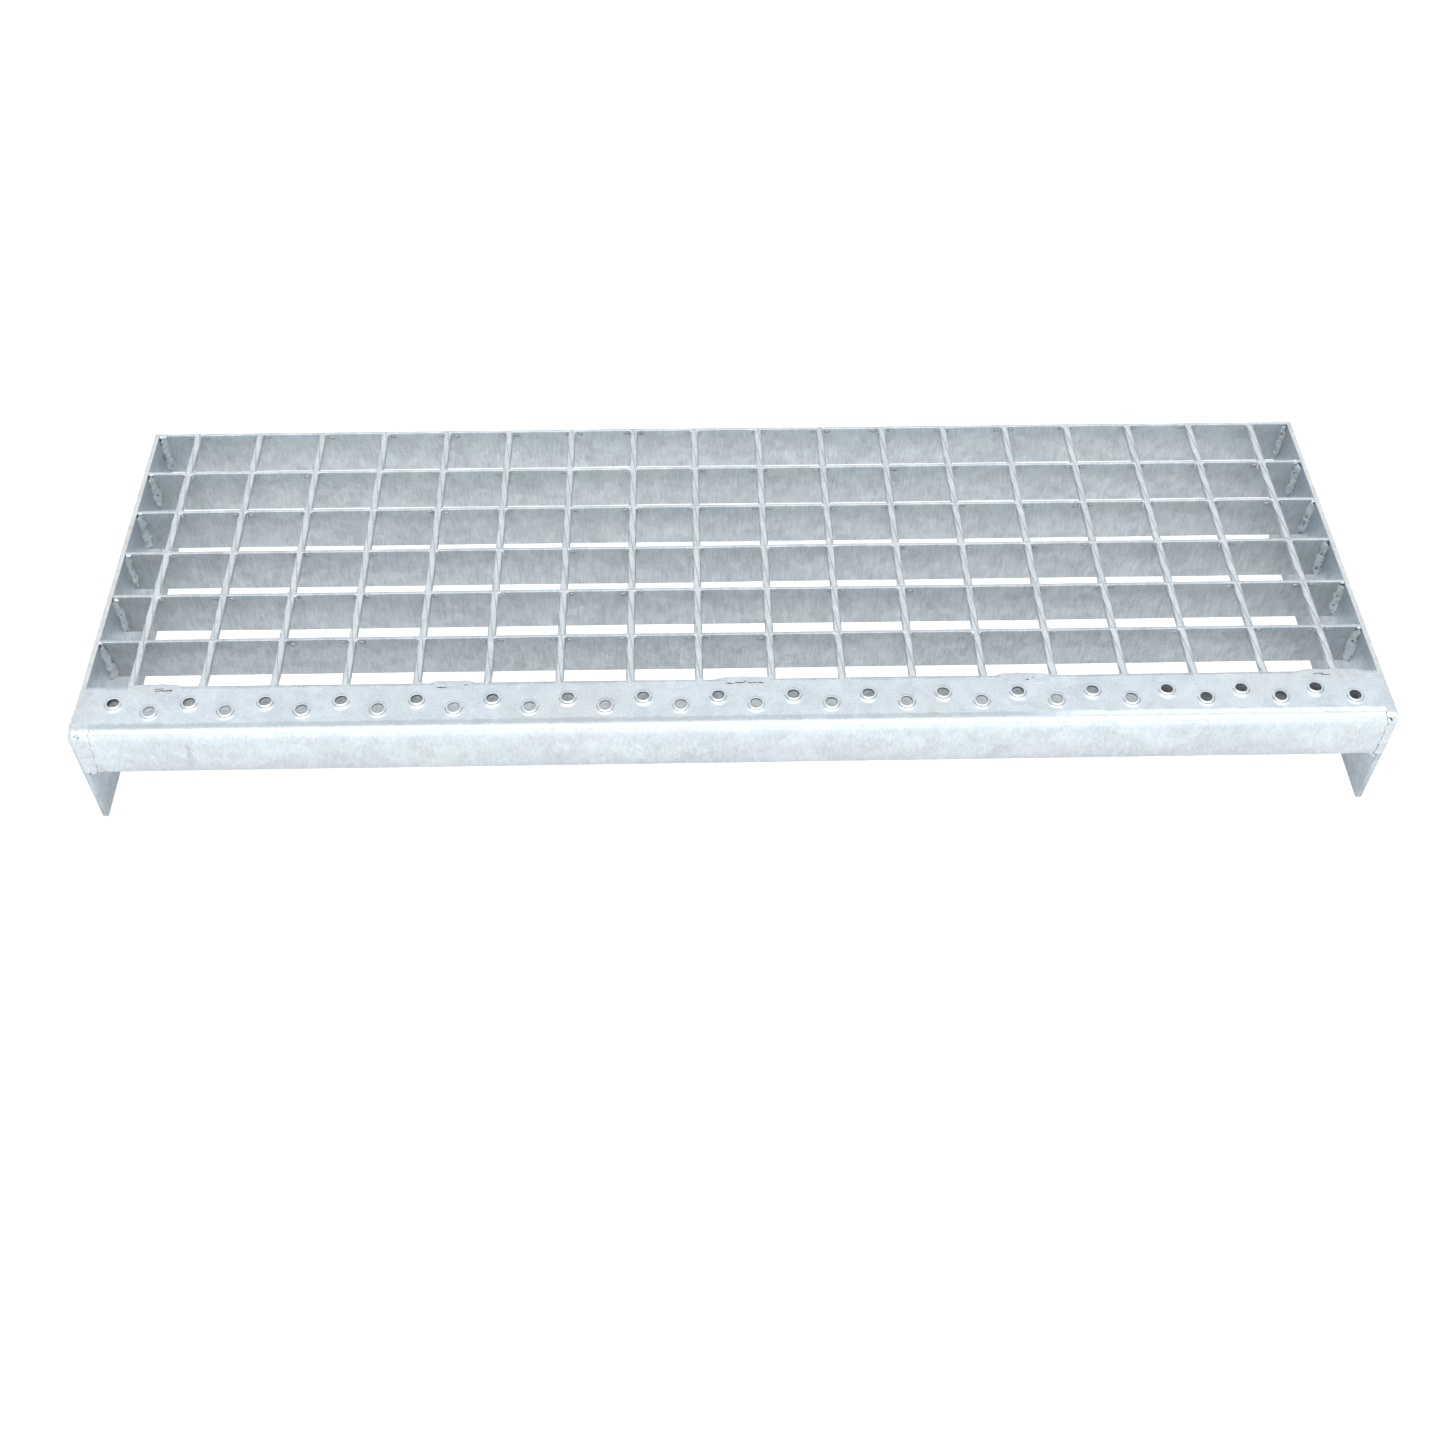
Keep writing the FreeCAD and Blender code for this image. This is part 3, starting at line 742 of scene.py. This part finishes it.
def crater_rings(x_mid, y_mid, edge, profile, flat_height, tilt):
    """Rings from the hole out to the cell's edge; tilt lowers the crater's front side."""
    angles = [math.atan2(y - y_mid, x - x_mid) for x, y in edge]
    rings = []
    for radius, height in profile:
        ring = []
        for angle in angles:
            x = x_mid + radius * MM * math.cos(angle)
            y = y_mid + radius * MM * math.sin(angle)
            rise = (height * MM - flat_height) * (1 + tilt * math.sin(angle))
            ring.append((x, y, flat_height + rise))
        rings.append(ring)
    rim = rings[-1]
    halfway = [((a[0] + b[0]) / 2, (a[1] + b[1]) / 2, flat_height) for a, b in zip(rim, edge)]
    rings.append(halfway)
    rings.append([(x, y, flat_height) for x, y in edge])
    return rings


def flange_cell(place):
    """Upper and lower side of one cell and the wall of its hole, about the nosing's own corner."""
    x_mid = cell_mids[place]
    in_front_row = place % 2 == 1
    y_mid = ROW_SETBACKS[place % 2]
    edge = cell_edge(x_mid, FOLD, nosing_depth)
    tilt = 0.15 if in_front_row else -0.1
    upper = crater_rings(x_mid, y_mid, edge, CRATER, 0.0, tilt)
    lower = crater_rings(x_mid, y_mid, edge, DENT, -SHEET, 0.0)
    rings = list(reversed(lower)) + upper
    count = len(edge)
    points = [point for ring in rings for point in ring]
    faces = []
    for ring in range(len(rings) - 1):
        for spot in range(count):
            here, beside = ring * count + spot, ring * count + (spot + 1) % count
            faces.append((here, beside, beside + count, here + count))
    return points, faces


print("corners in one cell:", len(flange_cell(0)[0]))

# %% The fold, the front face and the ends
def fold_path():
    """Section from the flange's upper side over the fold, round the lower lip and back below."""
    lip = 0.7 * MM
    path = []
    for step in range(13):
        angle = math.radians(90 * step / 12)
        path.append((FOLD - FOLD * math.sin(angle), -FOLD + FOLD * math.cos(angle)))
    path += [(0.0, -z) for z in np.linspace(FOLD, nosing_drop - lip, 10)[1:]]
    path += [(lip * 0.3, -nosing_drop + lip * 0.3), (lip, -nosing_drop)]
    path += [(SHEET - lip, -nosing_drop), (SHEET - lip * 0.3, -nosing_drop + lip * 0.3)]
    path += [(SHEET, -z) for z in np.linspace(nosing_drop - lip, FOLD, 6)]
    inner = FOLD - SHEET
    for step in range(1, 9):
        angle = math.radians(90 * step / 8)
        path.append((FOLD - inner * math.cos(angle), -FOLD + inner * math.sin(angle)))
    return path


def grid(columns, path):
    """Points and faces of a surface that carries a path sideways through the columns."""
    points = [(x, y, z) for x in columns for y, z in path]
    count = len(path)
    faces = []
    for column in range(len(columns) - 1):
        for place in range(count - 1):
            here = column * count + place
            faces.append((here, here + count, here + count + 1, here + 1))
    return points, faces


def make_nosing():
    """The whole folded sheet with its craters."""
    cells_half = cell_count * CELL / 2
    inside = np.linspace(-cells_half, cells_half, cell_count * CELL_STEPS_ALONG + 1)
    columns = [-nosing_half, *inside, nosing_half]
    depths = [(y, 0.0) for y in np.linspace(nosing_depth, FOLD, CELL_STEPS_ACROSS + 1)]
    under = [(y, -SHEET) for y, _ in reversed(depths)]
    section = depths + fold_path()[1:-1] + under
    patches = [grid(columns, fold_path()), grid(columns, [under[-1], depths[0]])]
    for end in (columns[:2], columns[-2:]):
        patches += [grid(end, depths), grid(end, under)]
    patches += [flange_cell(place) for place in range(cell_count)]
    for x in (columns[0], columns[-1]):
        patches.append(([(x, y, z) for y, z in section], [tuple(range(len(section)))]))
    points, faces = [], []
    for more_points, more_faces in patches:
        start = len(points)
        points += [(x, front_y + y, top_z + z) for x, y, z in more_points]
        faces += [tuple(start + corner for corner in face) for face in more_faces]
    return add_piece("folded_nosing", points, faces, sheet_zinc, ["nosing"],
                     swell=0.12 * MM, grain=14 * MM)


nosing = make_nosing()
print("nosing corners:", len(nosing.data.vertices))

# %% [markdown]
# The underside of the sheet, its inner face and the walls of its holes get a dark finish as painted
# shade, and a thin arc on the front flank of each crater gets painted shade too. Both follow from
# where a face lies and which way it looks, so a small test picks the faces, and no second material has to
# be painted by hand.

# %% Painted shade below the sheet and on the craters' front flanks
under_z = top_z - 0.6 * MM


def gets_painted_shadow(middle, direction):
    """True on the underside, the inner face and the walls of the holes, which get painted shade."""
    below = middle.y > front_y + 2 * MM and middle.z < under_z and direction.z < 0.1
    on_flange = front_y + FOLD < middle.y < front_y + nosing_depth - 1 * MM
    return below or (on_flange and abs(direction.z) < 0.2)


def on_painted_crater_shade(middle, _direction):
    """True on a thin arc of the front flank of each crater, which gets painted shade."""
    place = min(cell_count - 1, max(0, round(middle.x / CELL + (cell_count - 1) / 2)))
    across = middle.x - cell_mids[place]
    forward = middle.y - front_y - ROW_SETBACKS[place % 2]
    reach = math.hypot(across, forward)
    return forward < 0 and 4.2 * MM < reach < 4.75 * MM and middle.z > under_z


refinish(nosing, painted_shadow_zinc, gets_painted_shadow)
refinish(nosing, painted_shade_zinc, on_painted_crater_shade)
print("finishes on the nosing:", [material.name for material in nosing.data.materials])

# %% [markdown]
# ## Zinc skins in the holes
#
# Molten zinc bridges small holes like a soap film. Most craters of this nosing kept such a skin,
# dished and wrinkled, just under the rim; only the last few at the right end are open. A skin is
# a thin lens that fits its hole.

# %% Make the zinc skins
OPEN_AT_RIGHT = 6


def skin_rings(x, y, z, dice):
    """A shallow wrinkled dish across one hole, closed by its own underside."""
    count = 20
    tip_x, tip_y = dice.uniform(-0.25, 0.25), dice.uniform(-0.25, 0.25)
    phase = dice.uniform(0, 6.28)
    rings = []
    underside = [(0.15, -0.75), (0.6, -0.72), (1.04, -0.5)]
    dish = [(1.04, 0.0), (0.85, -0.12), (0.6, -0.28), (0.35, -0.36), (0.12, -0.3)]
    for size, height in underside + dish:
        ring = []
        for place in range(count):
            angle = 2 * math.pi * place / count
            wrinkle = 0.1 * math.sin(2 * angle + phase + size * 9)
            reach = 3.0 * size * MM
            px = x + reach * math.cos(angle) + tip_x * (1 - size) * MM
            py = y + reach * math.sin(angle) + tip_y * (1 - size) * MM
            ring.append((px, py, z + (height + wrinkle * (1.04 - size)) * MM))
        rings.append(ring)
    return rings


def make_skins(row, name, finish):
    """The skins of one row of craters; the rear row's lie deeper and have a darker finish, painted shade.
    """
    dice = random.Random(7 + row)
    skins = []
    for place in range(row, cell_count - OPEN_AT_RIGHT, 2):
        depth = dice.uniform(0.5, 0.9) if row else dice.uniform(1.0, 1.6)
        if place == 0:
            depth += 1.2
        y = front_y + ROW_SETBACKS[row]
        skins.append(skin_rings(cell_mids[place], y, top_z + (1.5 - depth) * MM, dice))
    points, faces = gather(skins)
    add_piece(name, points, faces, finish, swell=0.1 * MM, grain=1.5 * MM)
    return len(skins)


# Painted shade: the rear row's skins get a darker finish than the front row's.
rear_skins = make_skins(0, "zinc_skins_rear", skin_zinc)
front_skins = make_skins(1, "zinc_skins_front", pale_skin_zinc)
print("skins:", rear_skins, "+", front_skins)

# %% [markdown]
# ## Weld beads
#
# A run of weld is a low rounded ridge that pulses as the welder's hand moves, tapers at its ends
# and is never quite straight. The bead tool makes every run; what changes is how deep it is sunk
# and how uneven it is. Dark specks are pits where flux burnt out and zinc did not take.

# %% Welds and pits as pieces
def make_beads(name, runs, finish, stands_for=(), swell=0.18 * MM, grain=1.6 * MM):
    """Several runs of weld as one piece."""
    points, faces = gather(runs)
    return add_piece(name, points, faces, finish, stands_for, swell=swell, grain=grain)


def pit_rings(place, up, size, dice):
    """A thin dark speck that lies on a surface."""
    up = Vector(up).normalized()
    along = up.orthogonal().normalized()
    along.rotate(Matrix.Rotation(dice.uniform(0, 6.28), 3, up))
    half = along * size * dice.uniform(0.5, 1.2)
    place = Vector(place)
    return bead_rings(place - half, place + half, up, size, 0.12 * MM, dice.random() * 90, breathing=0.6)


pits = []
print("a bead has", BEAD_POINTS, "points round it, in steps of", BEAD_STEP / MM, "mm")

# %% Upright runs between the bars and the end plates
WELD_LEG = 4.2 * MM


def end_weld_runs(side):
    """One upright run in the corner between each bearing bar and the end plate."""
    inward = 1 if side == "left" else -1
    x = -inward * inner_half
    dice = random.Random(31 + inward)
    runs = []
    for number, (low, high) in enumerate(bar_boxes):
        leg = WELD_LEG * dice.uniform(0.8, 1.15)
        corner_x, corner_y = x + inward * leg * 0.3, bar_lines[number] - bar_thickness / 2 - leg * 0.3
        head = high.z - (3.4 if number == 0 else dice.uniform(0.2, 1.6)) * MM
        foot = low.z + dice.uniform(0, 4) * MM
        up = (inward, -1, 0)
        lean = inward * dice.uniform(0, 1) * MM
        start, end = (corner_x, corner_y, head), (corner_x + lean, corner_y, foot)
        seed = 200 + number * 3 + inward
        runs.append(bead_rings(start, end, up, leg * 1.45, leg * 0.24, seed, breathing=0.6))
        blob_z = foot + dice.uniform(0, 1.5) * MM
        blob = leg * dice.uniform(1.1, 1.7)
        start, end = (corner_x, corner_y, blob_z + blob), (corner_x, corner_y, blob_z)
        runs.append(bead_rings(start, end, up, blob, leg * 0.3, 300 + number, breathing=0.6))
        for _ in range(dice.randint(1, 4)):
            z = dice.uniform(foot, head)
            spot = (corner_x + inward * leg * 0.3, corner_y - leg * 0.3, z)
            pits.append(pit_rings(spot, up, dice.uniform(0.4, 0.8 if side == "left" else 1.5) * MM, dice))
    return runs


for side in ("left", "right"):
    runs = end_weld_runs(side)
    piece = make_beads(f"end_welds_{side}", runs, weld_zinc, [f"bar_end_welds_{side}"], swell=0.6 * MM)
    print(piece.name, "corners:", len(piece.data.vertices))

# %% [markdown]
# The nosing is held to the first bearing bar by five short runs along its rear edge. They were
# ground nearly flush, so each is a low lens that bulges a little behind the edge, with a crease
# where its two passes meet.

# %% Stitch runs along the rear edge of the nosing
UP = (0, 0, 1)
# Middle and length of each run along the tread, in millimetres.
STITCHES = [(-310, 30), (-152, 26), (5, 34), (155, 32), (322, 42)]


def stitch_runs():
    """Flat runs over the seam, each of two overlapping passes with pits in the crease."""
    dice = random.Random(5)
    runs = []
    seam_y = front_y + nosing_depth
    for number, (middle, length) in enumerate(STITCHES):
        half = length / 2 * MM
        left, right = middle * MM - half, middle * MM + half
        start = left, seam_y + 1.2 * MM, top_z - 0.3 * MM
        end = right, seam_y + 1.0 * MM, top_z - 0.3 * MM
        runs.append(bead_rings(start, end, UP, 5.0 * MM, 0.5 * MM, 400 + number, 0.02, 4.0, 0.05, 0.15))
        start = left, seam_y - 2.0 * MM, top_z - 0.2 * MM
        end = right, seam_y - 1.6 * MM, top_z - 0.2 * MM
        runs.append(bead_rings(start, end, UP, 5.4 * MM, 0.34 * MM, 420 + number, 0.02, 1.0, 0.1, 0.15))
        for _ in range(5 if number in (0, 2) else 2):
            x = (middle + dice.uniform(-0.3, 0.3) * length) * MM
            y = seam_y + dice.uniform(-1.4, 0.0) * MM
            reach = dice.uniform(0.8, 3.2) * MM
            start = x - reach, y, top_z + 0.16 * MM
            end = x + reach, y + dice.uniform(-0.6, 0.6) * MM, top_z + 0.16 * MM
            seed = dice.random() * 70
            pits.append(bead_rings(start, end, UP, 0.5 * MM, 0.12 * MM, seed, breathing=0.7))
    return runs


make_beads("stitch_welds", stitch_runs(), seam_zinc, ["nosing_stitch_welds"], 0.12 * MM, 4 * MM)
print("stitch welds:", len(STITCHES))

# %% [markdown]
# At its ends the nosing is welded to the end plates from outside and the run is dressed smooth.
# What stays is a thin bright skin with a ragged inner edge that follows the sheet over the fold,
# and a lump that stands out past the plate at the corner. The skin is a strip carried along the
# nosing's own section.

# %% Skins of weld over the nosing's ends
# How far the skin's outermost edge dips, in millimetres, so that it closes on the plate.
OUTER_TUCK = 0.9


def section_path():
    """Places and outward directions along the nosing's section, from the rear edge to the lip."""
    path = [(nosing_depth - share * (nosing_depth - FOLD), 0.0, 0.0) for share in np.linspace(0, 1, 22)]
    path += [
        (FOLD - FOLD * math.sin(turn), FOLD * math.cos(turn) - FOLD, turn)
        for turn in np.linspace(0, math.radians(90), 9)[1:]
    ]
    path += [(0.0, -depth, math.radians(90)) for depth in np.linspace(FOLD, nosing_drop, 20)[1:]]
    return path


def end_skin_rings(side):
    """One ring for each place on the path: over the skin from its outer to its ragged inner edge."""
    outward = -1 if side == "left" else 1
    seed = 11 if side == "left" else 23
    wide, narrow = (13.5 * MM, 8 * MM) if side == "left" else (6 * MM, 4.5 * MM)
    path = section_path()
    rings = []
    for step, (y, z, turn) in enumerate(path):
        share = step / (len(path) - 1)
        normal = Vector((0, -math.sin(turn), math.cos(turn)))
        spot = Vector((0, front_y + y, top_z + z))
        corner = math.exp(-(((share - 0.56) / 0.12) ** 2))
        ragged = 1.5 * MM * drift(share, 0.05, seed) + 0.8 * MM * drift(share, 0.018, seed + 5)
        inner = outer_half - (wide + (narrow - wide) * share + ragged)
        bulge = math.exp(-(((share - 0.42) / 0.25) ** 2))
        outer = outer_half - 0.6 * MM + bulge * (1.1 * MM + 0.5 * MM * drift(share, 0.05, seed + 9))
        ring = []
        for across in np.linspace(0, 1, 9):
            x = outward * (outer + (inner - outer) * across)
            lump = 0.22 * noise.noise(Vector((x, spot.y, spot.z)) / (3 * MM) + Vector((seed, 0, 0)))
            height = (0.32 + 0.5 * corner * (1 - across) + lump) * (1 - across ** 6) - 0.12 * across ** 6
            if across == 0:
                height -= OUTER_TUCK
            ring.append(spot + normal * height * MM + Vector((x, 0, 0)))
        for across in (1, 0):
            x = outward * (outer + (inner - outer) * across)
            ring.append(spot - normal * 1.2 * MM + Vector((x, 0, 0)))
        rings.append(ring)
    return rings


def seam_line_rings(side):
    """A thin dark line of painted shade along the inner edge of the skin."""
    outward = -1 if side == "left" else 1
    rings = []
    for (y, z, turn), skin in list(zip(section_path(), end_skin_rings(side)))[22:]:
        normal = Vector((0, -math.sin(turn), math.cos(turn)))
        middle = Vector((skin[8].x - outward * 0.15 * MM, front_y + y, top_z + z)) + normal * 0.02 * MM
        size = 0.2 * MM * (1 + 0.8 * drift(y + z, 3 * MM, 51))
        ring = []
        for across, up in ((1, 0), (0.5, 0.4), (-0.5, 0.4), (-1, 0), (0, -1)):
            ring.append(middle + Vector((across * size, 0, 0)) + normal * up * size)
        rings.append(ring)
    return rings


def end_fillet(side):
    """The small run that fills the corner below the nosing's end."""
    outward = -1 if side == "left" else 1
    start = outward * (inner_half - 5 * MM), front_y + 1.6 * MM, top_z - nosing_drop + 0.2 * MM
    end = outward * (inner_half + 0.2 * MM), front_y + 1.6 * MM, top_z - nosing_drop - 3.6 * MM
    return bead_rings(start, end, (-outward, 0, -1), 2.2 * MM, 0.5 * MM, 77 + outward, sink=3.0)


for side in ("left", "right"):
    outward = -1 if side == "left" else 1
    dice = random.Random(17 + outward)
    runs = [end_skin_rings(side), end_fillet(side)]
    points, faces = gather([seam_line_rings(side)])
    add_piece(f"seam_line_{side}", points, faces, painted_shade_zinc, swell=0.05 * MM)
    for _ in range(9):
        x = outward * (inner_half - dice.uniform(-1, 4) * MM)
        y = front_y + dice.uniform(0.3, 3) * MM
        spot = (x, y, top_z - dice.uniform(0.5, 4) * MM)
        pits.append(pit_rings(spot, (0, -1, 1), dice.uniform(0.4, 0.8) * MM, dice))
    node = f"nosing_end_weld_{side}"
    piece = make_beads(f"corner_weld_{side}", runs, seam_zinc, [node], 0.3 * MM, 2.4 * MM)
    print(piece.name, "corners:", len(piece.data.vertices))

# %% [markdown]
# The bath leaves its own small marks. Beads set where the bars' top edges meet the end plates,
# and one thin curtain of zinc ran down the front face. They are made last, with all the pits that
# the welds have gathered so far.

# %% Lumps at the bar ends, a run of zinc down the front, and the pits
def small_lumps():
    """Beads of zinc that set where the bars' top edges meet the end plates."""
    dice = random.Random(61)
    lumps = []
    for outward in (-1, 1):
        for low, high in bar_boxes[1:]:
            for _ in range(dice.randint(1, 3)):
                x = outward * (inner_half - dice.uniform(0.2, 3) * MM)
                y = low.y - dice.uniform(-0.5, 0.8) * MM
                z = top_z - dice.uniform(0.2, 1.6) * MM
                size = dice.uniform(0.8, 1.8) * MM
                start, end = (x - size, y, z), (x + size, y, z)
                seed = dice.random() * 40
                lumps.append(bead_rings(start, end, (0, -0.5, 1), size * 1.4, size * 0.45, seed))
    return lumps


def zinc_run():
    """A thin curtain edge where zinc ran down the front face and set."""
    x = -290 * MM
    start, end = (x + 1 * MM, front_y, top_z - FOLD), (x - 2 * MM, front_y, top_z - nosing_drop + 1 * MM)
    return bead_rings(start, end, (0, -1, 0), 4.0 * MM, 0.1 * MM, 808, 0.05, 3.0, 0.5, 0.5)


make_beads("bar_end_lumps", small_lumps(), seam_zinc)
make_beads("zinc_run", [zinc_run()], run_zinc, swell=0.08 * MM)
make_beads("weld_pits", pits, pit_oxide, swell=0.1 * MM, grain=0.8 * MM)
print("pits:", len(pits))

# %% [markdown]
# ## Floor, light and camera
#
# The tread stands on a white sweep under a broad soft light from above, with paler light from the
# front. Zinc is a blurred mirror, so what it looks like is mostly what surrounds it: the bend of
# the nosing shows the light above, a dimmer gap, and the bright floor in one narrow strip.

# %% Floor and lights
def make_floor():
    """A wide white floor that glows a little, as brightly lit paper does."""
    material, tree, shader = new_finish("white_sweep")
    shader.inputs["Base Color"].default_value = (0.35, 0.35, 0.35, 1)
    shader.inputs["Roughness"].default_value = 0.9
    shader.inputs["Emission Color"].default_value = (1, 1, 1, 1)
    shader.inputs["Emission Strength"].default_value = 0.95
    mesh = bpy.data.meshes.new("floor")
    half, level = 8.0, -0.05 * MM
    corners = [(-half, -half, level), (half, -half, level), (half, half, level), (-half, half, level)]
    mesh.from_pydata(corners, [], [(0, 1, 2, 3)])
    mesh.materials.append(material)
    floor = bpy.data.objects.new("floor", mesh)
    bpy.context.scene.collection.objects.link(floor)
    return floor


def add_area_light(name, place, aim, width, height, power):
    """A rectangular soft light at a place, turned to face another place."""
    data = bpy.data.lights.new(name, "AREA")
    data.shape = "RECTANGLE"
    data.size, data.size_y = width, height
    data.energy = power
    light = bpy.data.objects.new(name, data)
    light.location = place
    light.rotation_euler = (Vector(aim) - Vector(place)).to_track_quat("-Z", "Y").to_euler()
    bpy.context.scene.collection.objects.link(light)
    return light


make_floor()
tread_middle = (0, 0, top_z)
add_area_light("light_above", (0, -0.75, 2.15), tread_middle, 3.0, 0.9, 25)
add_area_light("light_front", (0, -2.0, 0.95), tread_middle, 3.0, 1.6, 10)

world = bpy.data.worlds.new("studio")
world.use_nodes = True
world.node_tree.nodes["Background"].inputs["Color"].default_value = (0.95, 0.98, 1.0, 1)
world.node_tree.nodes["Background"].inputs["Strength"].default_value = 1.4
bpy.context.scene.world = world
bpy.context.scene.view_settings.view_transform = "Standard"
print("lights:", [light.name for light in bpy.data.lights])

# %% Camera
CAMERA_PLACE = Vector((-25.42, -680.66, 745.59)) * MM
CAMERA_TURN = [math.radians(angle) for angle in (39.878, -0.334, -1.347)]
camera_data = bpy.data.cameras.new("camera")
camera_data.sensor_width = 36
camera_data.lens = 41.72
camera = bpy.data.objects.new("camera", camera_data)
camera.location = CAMERA_PLACE
camera.rotation_euler = CAMERA_TURN
bpy.context.scene.collection.objects.link(camera)
bpy.context.scene.camera = camera
print("camera height in mm:", round(camera.location.z / MM))
